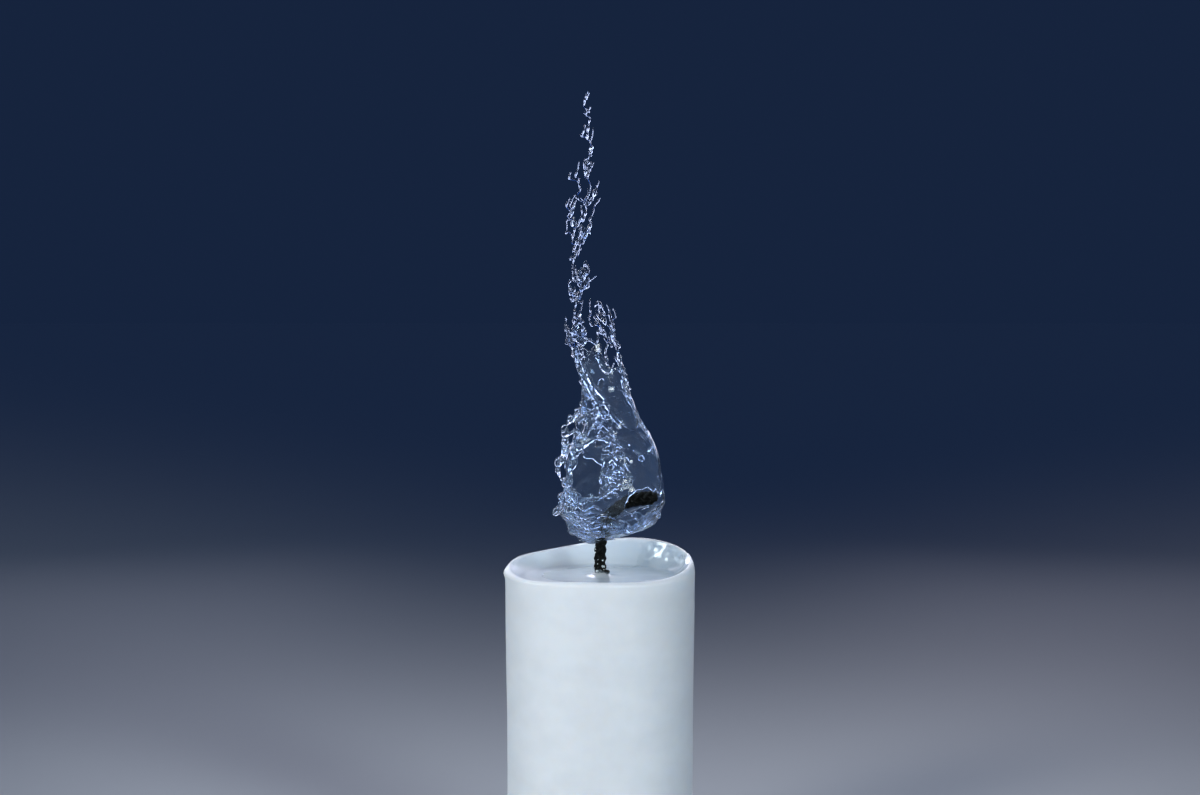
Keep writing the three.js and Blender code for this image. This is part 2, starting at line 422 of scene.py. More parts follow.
def wax_points(settings):
    """The wax's points, ring by ring, how far each takes the melted colour (melted wax with painted shade)
    and how glazed it is, from 0 to 1.
    """
    section = wax_section(settings)
    angle = full_turn(settings.facets)
    radius = np.repeat(section[:, :1], len(angle), axis=1)
    height = section[:, 1:2] + section[:, 2:3] * rim_height(angle)
    crest_row = int(np.argmax(section[:, 2]))
    row = np.arange(len(section))[:, None]
    outside = (row <= crest_row) & (height > 0.5) & (radius > CREST_RADIUS)
    inside = (row > crest_row) & (height > POOL - 1)

    lip = LIP_REACH * bell(turn_between(angle, LIP_AT), LIP_SPREAD)
    lip = lip * bell(height - POOL - LIP_HEIGHT, LIP_DEPTH)
    shape = np.zeros(radius.shape)
    rise = np.zeros(radius.shape)
    reach = settings.unevenness / MM
    ripple = settings.wall_ripple / MM
    run = 0.25 + 0.75 * bell(turn_between(angle, RUN_AT), RUN_SPREAD)
    # The wall's ripples fade in at the pool's edge and out at the crest.
    on_wall = inside * smoothstep(radius, settings.pool_radius / MM - 0.6, CREST_RADIUS - 1.2)
    on_wall = on_wall * (1 - smoothstep(radius, CREST_RADIUS - 0.7, CREST_RADIUS))
    for j, k in itertools.product(range(len(section)), range(len(angle))):
        turn, z, r = angle[k], height[j, k], radius[j, k]
        x, y = r * math.cos(turn), r * math.sin(turn)
        if outside[j, k]:
            shape[j, k] = reach * wall_wave(x, y, z)
        elif on_wall[j, k] > 0:
            shape[j, k] = ripple * run_wave(turn, z) * on_wall[j, k] * run[k]
        elif inside[j, k] and r > 3:
            rise[j, k] = POOL_WAVE * noise.noise((x / 4.5, y / 4.5, 5.5))
    radius = radius + shape + lip * outside
    crescent = bell(turn_between(angle, math.pi), CRESCENT_SPREAD)
    crescent = crescent * bell(radius - CRESCENT_RADIUS, CRESCENT_WIDTH)
    pit = bell(turn_between(angle, PIT_AT), PIT_SPREAD) * bell(radius - PIT_RADIUS, PIT_WIDTH)
    height = height + rise + CRESCENT_HEIGHT * crescent * inside - PIT_DEPTH * pit * inside
    x, y = radius * np.cos(angle), radius * np.sin(angle)
    # The melted colour also paints shade: the inner wall takes most of it at the right-back, and the pool a
    # little more to the right.
    wall = smoothstep(radius, 17.5, 21.5)
    below_crest = inside * (1 - smoothstep(radius, CREST_RADIUS - 0.9, CREST_RADIUS + 0.1))
    # thin: how strong the painted shade is round the wall, most at the right-back, not where the wall is thin
    thin = 0.3 + 0.7 * bell(turn_between(angle, WALL_SHADE_AT), WALL_SHADE_SPREAD)
    melted = below_crest * (POOL_MELT_AND_SHADE + 0.009 * x * (1 - wall) + (thin - POOL_MELT_AND_SHADE) * wall)
    glaze = below_crest * (0.45 + (1.33 * run - 0.78) * smoothstep(radius, 14, 19))
    return np.stack((x, y, height), axis=-1), melted, glaze


def ring_faces(rings, around):
    """Quads between rings of points, the last ring joined to the first."""
    j, k = np.meshgrid(np.arange(rings), np.arange(around), indexing="ij")
    up, next_k = (j + 1) % rings, (k + 1) % around
    quads = (j * around + k, j * around + next_k, up * around + next_k, up * around + k)
    return np.stack(quads, axis=-1).reshape(-1, 4)


def wax_material(settings):
    material, tree, shader = material_tree("Bluish white wax")
    spots = mottle(tree, Scale=55.0, Stretch=2.2, Fine=5.0)
    shaded = [0.94 * c for c in settings.colour]
    solid = ramp(tree, spots["Value"], (0.36, shaded), (0.62, settings.colour))
    glaze = stored(tree, "glaze")
    satin = maths(tree, "MULTIPLY_ADD", spots["Height"], 0.16, 0.3)
    gloss = add(tree, "ShaderNodeMix", {"data_type": "FLOAT"}, _0=glaze, _2=satin, _3=0.07).outputs[0]
    feed(
        tree,
        shader,
        # The melted colour here is partly painted shade on the pool and the inner wall.
        Base_Color=mixed(tree, stored(tree, "melted"), solid, opaque(settings.melted_and_shade_colour)),
        Roughness=gloss,
        Coat_Weight=glaze,
        Coat_Roughness=0.04,
        IOR=1.43,
        Subsurface_Weight=0.85,
        Subsurface_Radius=(0.8, 0.9, 1.0),
        Subsurface_Scale=0.005,
    )
    feed_bump(tree, shader, spots["Height"], 0.12, 0.4 * MM)
    return material


class OBJECT_OT_candle_wax(bpy.types.Operator):
    """Builds the wax with its melted rim and pool"""

    bl_idname = "object.candle_wax"
    bl_label = "Wax"

    def execute(self, context):
        settings = context.scene.melted_candle.wax
        points, melted, glaze = wax_points(settings)
        rings, around = melted.shape
        mesh = mesh_of("melted_wax", points.reshape(-1, 3), ring_faces(rings, around))
        set_attribute(mesh, "melted", melted)
        set_attribute(mesh, "glaze", glaze)
        mesh.materials.append(wax_material(settings))
        take_place_of(make_object("melted_wax", mesh), "wax_body")
        return {"FINISHED"}


# ---- wick ----
# Where the braid runs, above the pool: up out of the wax, then over to the right and a little forward.
WICK_FOOT = 0.5 - POOL
WICK_PATH = (
    (0, 0, WICK_FOOT),
    (0, 0, WICK_FOOT / 2),
    (0, 0, -4),
    (0, 0, 0),
    (0.05, 0, 5),
    (0.2, -0.1, 9),
    (0.9, -0.3, 12.6),
    (2.7, -0.8, 16),
    (5.6, -1.4, 18.9),
    (9.8, -1.9, 20.5),
    (15.2, -2.2, 21.2),
)


BRAID_STEP = 0.4
WEAVE_DEPTH = 0.16  # how far a strand goes in and out, as a share of the braid's radius
STRAND_INSET = 0.62  # how far a strand's middle is inside the braid, in strands
STRAND_SIDES, CORE_SIDES = 8, 14
CORE_SHARE = 0.72  # the solid core's radius as a share of the braid's
# A crumb of charred cotton at the wick's foot.
CRUMB_PLACE = (1.65, -0.8, POOL + 0.85)
CRUMB_RADIUS = 0.8 * MM
CRUMB_SHAPE = (1.3, 1, 0.8)
CHAR_DEPTH, CHAR_SCALE = 0.22 * MM, 1500.0
SPECK_SCALE, PATCH_SCALE, FIBRE_SCALE = 1250.0, 420.0, 2600.0
WAXED_COTTON = (0.24, 0.3, 0.34, 1)
END_ROUNDING = (0.0, 0.016)  # shares of the length from the tip, over which the strands close in
END_SWELLING = (0.03, 0.08)  # and over which the swollen end thins down


def braid_tree(material):
    """Geometry Nodes: strands that wind both ways round a path, passing over and under, on a solid core."""
    tree = bpy.data.node_groups.new("Braid", "GeometryNodeTree")
    tree.interface.new_socket("Path", in_out="INPUT", socket_type="NodeSocketGeometry")
    for name in ("Radius", "Strand", "Lay", "Char"):
        tree.interface.new_socket(name, in_out="INPUT", socket_type="NodeSocketFloat")
    tree.interface.new_socket("Strands", in_out="INPUT", socket_type="NodeSocketInt")
    tree.interface.new_socket("Crumb", in_out="INPUT", socket_type="NodeSocketVector")
    tree.interface.new_socket("Braid", in_out="OUTPUT", socket_type="NodeSocketGeometry")
    into = tree.nodes.new("NodeGroupInput").outputs

    def product(a, b):
        return maths(tree, "MULTIPLY", a, b)

    def tube(path, radius, sides):
        circle = add(tree, "GeometryNodeCurvePrimitiveCircle", Resolution=sides, Radius=radius).outputs[0]
        made = add(tree, "GeometryNodeCurveToMesh", Curve=path, Profile_Curve=circle, Fill_Caps=True)
        return made.outputs[0]

    amount = product(into["Strands"], 2.0)
    copies = add(
        tree, "GeometryNodeDuplicateElements", {"domain": "SPLINE"}, Geometry=into["Path"], Amount=amount
    )
    copy = copies.outputs["Duplicate Index"]
    hand = maths(tree, "SUBTRACT", 1.0, product(maths(tree, "MODULO", copy, 2.0), 2.0))
    spline = add(tree, "GeometryNodeSplineParameter").outputs
    travelled = product(maths(tree, "DIVIDE", spline["Length"], into["Lay"]), 2 * math.pi)
    start = maths(tree, "DIVIDE", maths(tree, "FLOOR", maths(tree, "DIVIDE", copy, 2.0)), into["Strands"])
    angle = maths(tree, "ADD", product(start, 2 * math.pi), product(travelled, hand))
    weave = maths(tree, "COSINE", product(travelled, into["Strands"]))
    over = product(product(weave, hand), WEAVE_DEPTH)
    braid_radius = maths(tree, "SUBTRACT", into["Radius"], product(into["Strand"], STRAND_INSET))
    out = product(maths(tree, "ADD", over, 1.0), braid_radius)
    # The free end is charred: swollen, and burnt round where the strands close in at the tip.
    end = maths(tree, "SUBTRACT", 1.0, spline["Factor"])
    out = product(out, map_range(tree, end, END_ROUNDING, (0.25, 1.0), "SMOOTHSTEP"))
    out = product(out, map_range(tree, end, END_SWELLING, (1.24, 1.0), "SMOOTHSTEP"))
    normal = add(tree, "GeometryNodeInputNormal").outputs[0]
    tangent = add(tree, "GeometryNodeInputTangent").outputs[0]
    side = vector_maths(tree, "CROSS_PRODUCT", tangent, normal)
    across = scaled(tree, normal, product(maths(tree, "COSINE", angle), out))
    beside = scaled(tree, side, product(maths(tree, "SINE", angle), out))
    offset = vector_maths(tree, "ADD", across, beside)
    wound = add(tree, "GeometryNodeSetPosition", Geometry=copies.outputs["Geometry"], Offset=offset)

    strands = tube(wound.outputs[0], product(into["Strand"], 0.5), STRAND_SIDES)
    core = tube(into["Path"], product(into["Radius"], CORE_SHARE), CORE_SIDES)
    ball = add(tree, "GeometryNodeMeshIcoSphere", Radius=CRUMB_RADIUS, Subdivisions=4).outputs[0]
    crumb = add(tree, "GeometryNodeTransform", Geometry=ball, Translation=into["Crumb"], Scale=CRUMB_SHAPE)
    joined = add(tree, "GeometryNodeJoinGeometry")
    for piece in (strands, core, crumb.outputs[0]):
        tree.links.new(piece, joined.inputs[0])
    # Charring: the burnt cotton is rough where it stands out of the wax.
    place = add(tree, "GeometryNodeInputPosition").outputs[0]
    rough = noise_node(tree, place, CHAR_SCALE, 2.0)["Color"]
    centred = vector_maths(tree, "SUBTRACT", rough, (0.5, 0.5, 0.5))
    moved = scaled(tree, centred, into["Char"])
    charred = add(tree, "GeometryNodeSetPosition", Geometry=joined.outputs[0], Offset=moved)
    whole = add(tree, "GeometryNodeRealizeInstances", Geometry=charred.outputs[0])
    finished = add(tree, "GeometryNodeSetMaterial", Geometry=whole.outputs[0], Material=material)
    add(tree, "NodeGroupOutput", Braid=finished.outputs[0])
    return tree


def set_inputs(modifier, **values):
    """Sets a Geometry Nodes modifier's inputs, found by name, by each socket's identifier."""
    for item in modifier.node_group.interface.items_tree:
        if item.item_type == "SOCKET" and item.in_out == "INPUT" and item.name in values:
            modifier[item.identifier] = values[item.name]


def path_object(name, points):
    """A curve of one spline through points in millimetres."""
    curve = bpy.data.curves.new(name, "CURVE")
    curve.dimensions = "3D"
    curve.twist_mode = "MINIMUM"
    spline = curve.splines.new("POLY")
    spline.points.add(len(points) - 1)
    for point, place in zip(spline.points, points):
        point.co = (*(Vector(place) * MM), 1)
    return make_object(name, curve)


def plain_mesh(name, made):
    """Turns an object's evaluated geometry into a plain mesh object, and removes the original."""
    evaluated = made.evaluated_get(bpy.context.evaluated_depsgraph_get())
    mesh = bpy.data.meshes.new_from_object(evaluated)
    mesh.name = name
    bpy.data.objects.remove(made)
    return make_object(name, mesh)


def wick_material(settings):
    material, tree, shader = material_tree("Charred cotton")
    place = object_place(tree)
    cells = add(tree, "ShaderNodeTexVoronoi", Vector=place, Scale=SPECK_SCALE).outputs["Distance"]
    patch = noise_node(tree, place, PATCH_SCALE, 2.0)[0]
    near = maths(tree, "MULTIPLY", maths(tree, "SUBTRACT", 1.0, cells), patch)
    height = add(tree, "ShaderNodeSeparateXYZ", Vector=place).outputs["Z"]
    # There are more specks near its foot than higher up: pale specks of wax and ash that are partly painted
    # highlights, standing in for glints.
    low = map_range(tree, height, ((POOL + 6) * MM, (POOL + 14) * MM), (0.07, -0.06))
    speck_and_glint = ramp(tree, maths(tree, "ADD", near, low), (0.48, 0.0), (0.53, 1.0))
    # The wax has crept up its foot, here more and there less.
    crept = maths(tree, "ADD", height, maths(tree, "MULTIPLY", patch, -3 * MM))
    buried = map_range(tree, crept, ((POOL - 1.8) * MM, (POOL - 0.5) * MM), (1.0, 0.0))
    fibre = noise_node(tree, place, FIBRE_SCALE, 4.0)[0]
    black, brown = ([share * c for c in settings.char] for share in (0.35, 2.4))
    burnt = ramp(tree, fibre, (0.35, black), (0.7, brown))
    # Pale specks of wax and ash, partly painted glints.
    marked = mixed(tree, speck_and_glint, burnt, opaque(settings.ash))
    feed(
        tree,
        shader,
        Base_Color=mixed(tree, buried, marked, WAXED_COTTON),
        Roughness=ramp(tree, fibre, (0.4, 0.45), (0.6, 0.8)),
        Coat_Weight=speck_and_glint,  # the specks of wax on it shine
        Coat_Roughness=0.1,
        Specular_IOR_Level=0.12,
    )
    feed_bump(tree, shader, fibre, 0.6, 0.12 * MM)
    return material


class OBJECT_OT_candle_wick(bpy.types.Operator):
    """Builds the braided wick, charred where it stands out of the wax"""

    bl_idname = "object.candle_wick"
    bl_label = "Wick"

    def execute(self, context):
        settings = context.scene.melted_candle.wick
        made = path_object("charred_wick", along(WICK_PATH, BRAID_STEP) + (0, 0, POOL))
        modifier = made.modifiers.new("Braid", "NODES")
        modifier.node_group = braid_tree(wick_material(settings))
        set_inputs(
            modifier,
            Radius=settings.thickness / 2,
            Strand=settings.strand,
            Lay=settings.lay,
            Strands=settings.strands,
            Char=CHAR_DEPTH,
            Crumb=Vector(CRUMB_PLACE) * MM,
        )
        take_place_of(plain_mesh("charred_wick", made), "wick")
        return {"FINISHED"}


# ---- sustainer ----
def steel_material():
    material, tree, shader = material_tree("Dulled tinned steel")
    spots = mottle(tree, Scale=300.0, Stretch=1.0, Fine=6.0)
    feed(
        tree,
        shader,
        Base_Color=ramp(tree, spots["Value"], (0.35, (0.42, 0.43, 0.44)), (0.65, (0.66, 0.67, 0.68))),
        Roughness=ramp(tree, spots["Value"], (0.3, 0.5), (0.7, 0.28)),
        Metallic=1.0,
    )
    feed_bump(tree, shader, spots["Height"], 0.25, 0.1 * MM)
    return material


class OBJECT_OT_candle_sustainer(bpy.types.Operator):
    """Gives the sustainer in the base its metal"""

    bl_idname = "object.candle_sustainer"
    bl_label = "Sustainer"

    def execute(self, context):
        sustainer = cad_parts["wick_sustainer"]
        sustainer.data.materials.clear()
        sustainer.data.materials.append(steel_material())
        return {"FINISHED"}


# ---- water ----
# The bag of water seen from the front: height above the pool, then its left and right edges.
SPLASH_OUTLINE = (
    (9.6, -2.6, 2.6),
    (10.0, -3.5, 3.4),
    (10.6, -4.7, 5.4),
    (11.2, -5.9, 8.8),
    (12.1, -7.1, 11.9),
    (14.2, -8.6, 14.7),
    (16.8, -11.2, 16.4),
    (19.5, -9.8, 17.1),
    (26, -9.2, 16.8),
    (32, -8.5, 15.0),
    (38, -7.0, 12.9),
    (44, -5.0, 9.7),
    (51, -4.6, 6.9),
    (60, -7.9, 4.6),
    (68, -8.8, 2.6),
    (76, -8.4, -1.2),
    (84, -7.2, -3.0),
    (93, -7.8, -2.6),
    (101, -7.4, -1.8),
    (108, -5.6, -1.6),
    (118, -4.7, -2.4),
    (SPLASH_TOP - 0.5, -3.7, -3.3),
)
BULB_DEPTH, VEIL_DEPTH = 0.84, 0.6  # depth as a share of width, low down and high up
BULB_TOP, VEIL_FOOT = 36, 60  # the heights between which one becomes the other
FOOT_CLOSES, TIP_CLOSES = 30, 2  # how fast the bag closes past the outline's ends
FRONT, EDGE, BACK = -1, 0, 1  # the sides of the bag


def splash_section(height):
    """At each height: the bag's centre, the square of its half width, and its depth as a share of it."""
    heights, left, right = np.array(SPLASH_OUTLINE).T
    half = (right - left) / 2
    centre = np.interp(height, heights, (left + right) / 2)
    square = np.interp(height, heights, half**2)
    below, above = heights[0] - height, height - heights[-1]
    square = square - FOOT_CLOSES * np.maximum(below, 0) - TIP_CLOSES * np.maximum(above, 0)
    depth = BULB_DEPTH + (VEIL_DEPTH - BULB_DEPTH) * smoothstep(height, BULB_TOP, VEIL_FOOT)
    return centre, square, depth


def on_splash(points, side):
    """Points of the bag's surface in front or behind, from (x, height) seen from the front."""
    p = np.array(points, float)
    centre, square, depth = splash_section(p[:, 1])
    y = side * depth * np.sqrt(np.maximum(square - (p[:, 0] - centre) ** 2, 0))
    return np.stack((p[:, 0], y, p[:, 1]), axis=1)


# Ropes of water that stand out on the bag: side, radius, and the points that each passes through.
ROPES = (
    # over the clear window on the left, and down both its sides
    (FRONT, 0.62, ((-7.9, 27.9), (-6.5, 31.2), (-7.2, 33.4), (-4.6, 34.9), (-1.6, 37.2), (4.6, 36.2))),
    (FRONT, 0.5, ((4.6, 36.2), (4.3, 33.6), (5.5, 31), (6.1, 28.6), (6.9, 25.6))),
    (FRONT, 0.42, ((0.4, 36.4), (1.2, 33.4), (0.8, 30.4), (0.3, 26.8), (1, 24), (0.5, 22))),
    (FRONT, 0.5, ((-8.2, 22.2), (-5.7, 20.4), (-3, 21.1), (-0.5, 21.6), (1.6, 23.2), (3.2, 24))),
    # the ragged left edge
    (EDGE, 0.6, ((-12.2, 16.6), (-11, 18.2), (-10.4, 20.8), (-9.1, 22), (-8.8, 24), (-10.4, 25.6))),
    (EDGE, 0.58, ((-10.4, 25.6), (-11.2, 28.8), (-9.9, 32.2), (-9.1, 35), (-8.9, 37.8), (-8.7, 40.6))),
    (EDGE, 0.5, ((-8.7, 40.6), (-6.3, 43), (-4.6, 44.6), (-3.9, 47.4), (-3.6, 50))),
    (FRONT, 0.45, ((-8.8, 23.8), (-7.9, 26.8), (-8.2, 30), (-6.8, 32.9))),
    (FRONT, 0.4, ((-9, 37.6), (-6.2, 39), (-3.9, 37.2), (-2.7, 39.6), (-1.1, 42.8), (-0.6, 45.8))),
    (BACK, 0.45, ((-9.2, 34.6), (-6.4, 36.2), (-4.2, 39.8), (-4.6, 44))),
    # the right of the bulb and the clear window above it
    (FRONT, 0.34, ((4.1, 43), (6.3, 41), (9, 39.9), (9.9, 40.9), (9.5, 43.3), (7.9, 46.6), (6.2, 49.6))),
    (FRONT, 0.34, ((12.5, 38.4), (10.9, 41.6), (9.3, 44.6), (7.7, 48.4), (6.3, 52.4), (5.1, 57))),
    (BACK, 0.34, ((13, 36), (11, 41), (9, 45.4), (7.2, 49.6), (5.8, 54), (4.4, 60))),
    (FRONT, 0.4, ((7.7, 36.1), (9.3, 34), (11.2, 32.9), (13.2, 34.5), (13.8, 36.2))),
    (FRONT, 0.28, ((12.3, 27.4), (13.6, 25.6), (15, 23.8))),
    # the bowl
    (FRONT, 0.4, ((-6, 14.8), (-3, 13.6), (-0.4, 14.1), (2.2, 14.6), (4.8, 13.9), (7.4, 13), (8.6, 11.8))),
    (FRONT, 0.36, ((-4.6, 11.3), (-1.6, 11.2), (1.6, 11.4), (5.4, 11.8), (8.2, 12.2), (14.4, 15.8))),
    (FRONT, 0.36, ((-9.6, 17.4), (-6, 17), (-2.6, 16.6), (0.8, 17.4), (3.6, 16.6))),
    (BACK, 0.4, ((-8, 14), (-3, 15.6), (2, 13.8), (8, 15.4), (13, 17.2))),
    # the veil
    (FRONT, 0.55, ((4, 37), (2.2, 41), (0.4, 44.6), (-2.2, 48.8), (-4.3, 53.4), (-6, 57.6), (-6.6, 63))),
    (FRONT, 0.5, ((5, 41), (2.6, 44.6), (1, 48), (-2, 51.6), (-4.4, 56.2), (-6.3, 60.6), (-6, 67))),
    (BACK, 0.5, ((0, 39), (-1.4, 45), (-4.2, 50.4), (-5.6, 55), (-7.4, 61), (-7.2, 69))),
    (FRONT, 0.38, ((-5.6, 62.2), (-3, 63.2), (-0.8, 61.6), (-0.5, 58), (1, 55.1), (2.6, 54.8), (3.8, 57.2))),
    (FRONT, 0.45, ((8, 50), (6, 55.6), (5.3, 58.2), (4.6, 61), (3.4, 63.8), (2.9, 66))),
    (FRONT, 0.34, ((2.6, 54.8), (1.4, 59.6), (1.9, 62.4), (0.6, 65.4), (-1, 68.4))),
    # the busy water between the clear window and the right of the bulb
    (FRONT, 0.28, ((2.2, 35.8), (2.7, 32.6), (1.8, 29.4), (2.6, 26.2), (2, 23.6))),
    (FRONT, 0.27, ((3.2, 35), (3.9, 31.8), (3, 28.4), (4.3, 25.6), (3.4, 23.4))),
    (FRONT, 0.26, ((0.8, 31.6), (2.6, 32.8), (4.6, 31), (5.6, 32.6))),
    (FRONT, 0.26, ((0.5, 28.2), (2.4, 27.6), (3.8, 29.4), (5.9, 28.8))),
    (FRONT, 0.26, ((0.9, 24.6), (2.8, 25.4), (4.6, 24.2), (6.4, 26))),
    (FRONT, 0.26, ((5.8, 36), (7, 33.4), (6.6, 31), (7.9, 28.6), (8.3, 26.2))),
    # fine lines across the bowl
    (FRONT, 0.26, ((-8.8, 18.8), (-6.4, 19.6), (-4.2, 18.4), (-2, 19.4), (0.4, 18.6))),
    (FRONT, 0.26, ((-7.4, 14.2), (-5.4, 15.9), (-3.6, 14.7), (-1.2, 15.7), (1.4, 15))),
    (FRONT, 0.26, ((-5.6, 12.8), (-3.4, 12.4), (-1, 12.9), (1.8, 12.2), (4.2, 12.9))),
    (FRONT, 0.26, ((5, 15.8), (7, 14.8), (8.4, 13), (9.6, 12.3))),
    (FRONT, 0.26, ((8.4, 17.2), (9.8, 16.2), (10.4, 14), (12, 13.2))),
    (FRONT, 0.26, ((-9.2, 16.2), (-8, 17.3), (-7.4, 15.4), (-6, 13.6))),
)

# The streaks that the splash breaks into above the veil: radius, foot and tip.
STREAKS = (
    # the ragged foot of the column
    (0.3, (-9.3, 65.6), (-9.0, 69.2)),
    (0.32, (-8.6, 61.8), (-8.8, 66.4)),
    (0.4, (-7.4, 62.6), (-6.9, 69.6)),
    (0.34, (-5.9, 64.4), (-5.7, 70.0)),
    (0.28, (-4.4, 64.0), (-5.2, 69.4)),
    (0.4, (-6.8, 69.0), (-5.6, 74.4)),
    (0.36, (-5.4, 69.4), (-4.6, 74.0)),
    (0.38, (-6.4, 73.2), (-5.2, 76.8)),
    (0.26, (-6.2, 74.6), (-7.9, 76.6)),
    (0.3, (-8.0, 75.0), (-7.9, 77.6)),
    # two fingers apart from it on the right
    (0.24, (-2.2, 66.8), (-2.9, 69.2)),
    (0.26, (-2.4, 70.0), (-2.6, 73.9)),
    (0.34, (1.8, 62.2), (-0.4, 67.2)),
    (0.3, (4.2, 61.6), (3.5, 66.2)),
    (0.34, (3.8, 66.0), (2.2, 71.6)),
    (0.24, (2.8, 69.6), (1.8, 72.6)),
    # a knot, and the neck over it
    (0.34, (-4.9, 75.4), (-4.6, 80.6)),
    (0.42, (-5.6, 78.4), (-5.0, 82.4)),
    (0.42, (-4.4, 76.6), (-2.8, 79.8)),
    (0.24, (-2.8, 78.8), (-1.0, 80.2)),
    (0.3, (-7.1, 78.8), (-7.0, 84.6)),
    (0.4, (-7.0, 84.4), (-6.6, 87.0)),
    # the leaf that leans to the right
    (0.36, (-7.2, 86.6), (-5.2, 91.6)),
    (0.4, (-5.8, 88.6), (-4.0, 92.8)),
    (0.36, (-4.4, 88.8), (-2.8, 93.6)),
    (0.26, (-3.1, 92.4), (-1.6, 97.6)),
    (0.24, (-9.1, 91.4), (-8.9, 95.0)),
    (0.24, (-7.4, 89.5), (-6.2, 94.8)),
    (0.26, (-5.9, 93.4), (-5.0, 99.0)),
    (0.3, (-4.6, 94.6), (-3.6, 100.4)),
    (0.28, (-8.2, 95.4), (-6.8, 99.0)),
    (0.26, (-8.0, 99.0), (-6.6, 101.7)),
    (0.24, (-4.4, 99.8), (-6.4, 101.0)),
    (0.34, (-4.0, 100.0), (-3.2, 103.2)),
    (0.28, (-3.0, 99.0), (-0.9, 102.0)),
    (0.42, (-1.9, 100.3), (-0.2, 105.4)),
    # the last thin ones
    (0.24, (-5.1, 103.0), (-5.5, 105.9)),
    (0.24, (-6.6, 106.5), (-5.6, 110.6)),
    (0.28, (-4.0, 106.4), (-2.0, 114.2)),
    (0.24, (-2.7, 108.1), (-1.7, 110.3)),
    (0.24, (-4.9, 117.1), (-3.9, 120.3)),
    (0.34, (-3.4, 116.6), (-2.6, 122.2)),
    (0.3, (-2.9, 123.5), (-2.5, 125.0)),
    (0.24, (-4.1, 125.6), (-3.2, SPLASH_TOP - 0.4)),
)

# Where the film is open: side, centre, half width and height, and tilt in degrees.
WINDOWS = (
    (FRONT, (-3.7, 27.4), (4.3, 6.0), 4),
    (FRONT, (11.4, 20.7), (5.3, 3.6), 6),
    (FRONT, (-5.2, 40.2), (2.0, 2.7), -25),
    (BACK, (-7.6, 37.0), (1.8, 3.4), 0),
    (FRONT, (-9.4, 30.2), (0.8, 3.2), 5),
    (BACK, (2.0, 59.6), (2.6, 5.0), 14),
    (FRONT, (2.2, 59.6), (1.9, 4.6), 14),
    (BACK, (-9.2, 24.0), (1.3, 3.4), 0),
)

# Bubbles in the film: side, radius, centre.
BUBBLES = (
    (FRONT, 0.95, (10.9, 32.2)),
    (FRONT, 0.85, (15.5, 16.4)),
    (FRONT, 0.75, (9.6, 14.2)),
    (FRONT, 0.6, (7.9, 26.6)),
    (FRONT, 0.55, (4.9, 40.6)),
    (FRONT, 0.6, (-4.6, 27.4)),
    (EDGE, 0.7, (15.9, 22.6)),
)


class Waves:
    """A smooth random field: a sum of plane waves of about one length, longer up and down if stretched."""

    def __init__(self, seed, length, stretch=1.0, count=26):
        random = np.random.default_rng(seed)
        direction = random.normal(size=(count, 3))
        direction /= np.linalg.norm(direction, axis=1)[:, None]
        size = 2 * math.pi / (length * random.uniform(0.8, 1.3, count))
        self.vectors = direction * size[:, None] / (1, 1, stretch)
        self.phases = random.uniform(0, 2 * math.pi, count)
        self.scale = math.sqrt(2 / count)

    def __call__(self, points):
        """The field, about from -1 to 1, and its gradient."""
        value = np.zeros(len(points), np.float32)
        gradient = np.zeros((len(points), 3), np.float32)
        for vector, phase in zip(self.vectors.astype(np.float32), self.phases.astype(np.float32)):
            turn = points @ vector + phase
            value += np.cos(turn)
            gradient -= np.sin(turn)[:, None] * vector
        return value * self.scale, gradient * self.scale


def blend(a, b, width):
    """The union of two solids' distances, with a fillet of about this width."""
    mix = np.clip(0.5 + 0.5 * (b - a) / width, 0, 1)
    return b + (a - b) * mix - width * mix * (1 - mix)


class WaterField:
    """Distances from the water's surface on a grid of cells, less than 0 inside."""

    FAR = 1.5  # the most that a distance is worked out to

    def __init__(self, low, high, step):
        self.low = np.array(low, np.float32)
        self.step = step
        count = np.ceil((np.array(high) - low) / step).astype(int) + 1
        self.axes = [self.low[a] + step * np.arange(count[a], dtype=np.float32) for a in range(3)]
        self.distance = np.full(count, self.FAR, np.float32)

    def around(self, centre, reach):
        """The slices of the cells near a point, and their distances from it."""
        slices, offsets = [], []
        for axis, middle in zip(self.axes, centre):
            first, last = np.searchsorted(axis, (middle - reach, middle + reach))
            slices.append(slice(first, last))
            offsets.append(axis[first:last] - middle)
        x, y, z = offsets
        return tuple(slices), np.sqrt(x[:, None, None] ** 2 + y[:, None] ** 2 + z**2)

    def add_rope(self, line, radii, fillet=0.35):
        for centre, radius in zip(line, radii):
            cells, away = self.around(centre, radius + 2 * fillet + self.step)
            self.distance[cells] = blend(self.distance[cells], away - radius, fillet)

    def clear(self, line, radii):
        for centre, radius in zip(line, radii):
            cells, away = self.around(centre, radius + 2 * self.step)
            self.distance[cells] = np.maximum(self.distance[cells], radius - away)


def film_distance(x, y, z):
    """Signed distance from the middle of the film, roughly: less than 0 inside the bag."""
    centre, square, depth = splash_section(z)
    across = x - centre
    bag = across**2 + (y / depth) ** 2 - square
    nudge, least_slope = 0.05, 0.5
    rise = (splash_section(z + nudge)[1] - square) / nudge
    slope = np.sqrt((2 * across) ** 2 + (2 * y / depth**2) ** 2 + rise**2)
    return bag / np.maximum(slope, least_slope)


NO_WINDOW = 9.0  # distance from a window that isn't near
WINDOW_SEED, WINDOW_WAVE, WINDOW_WOBBLE = 31, 3.2, 0.35


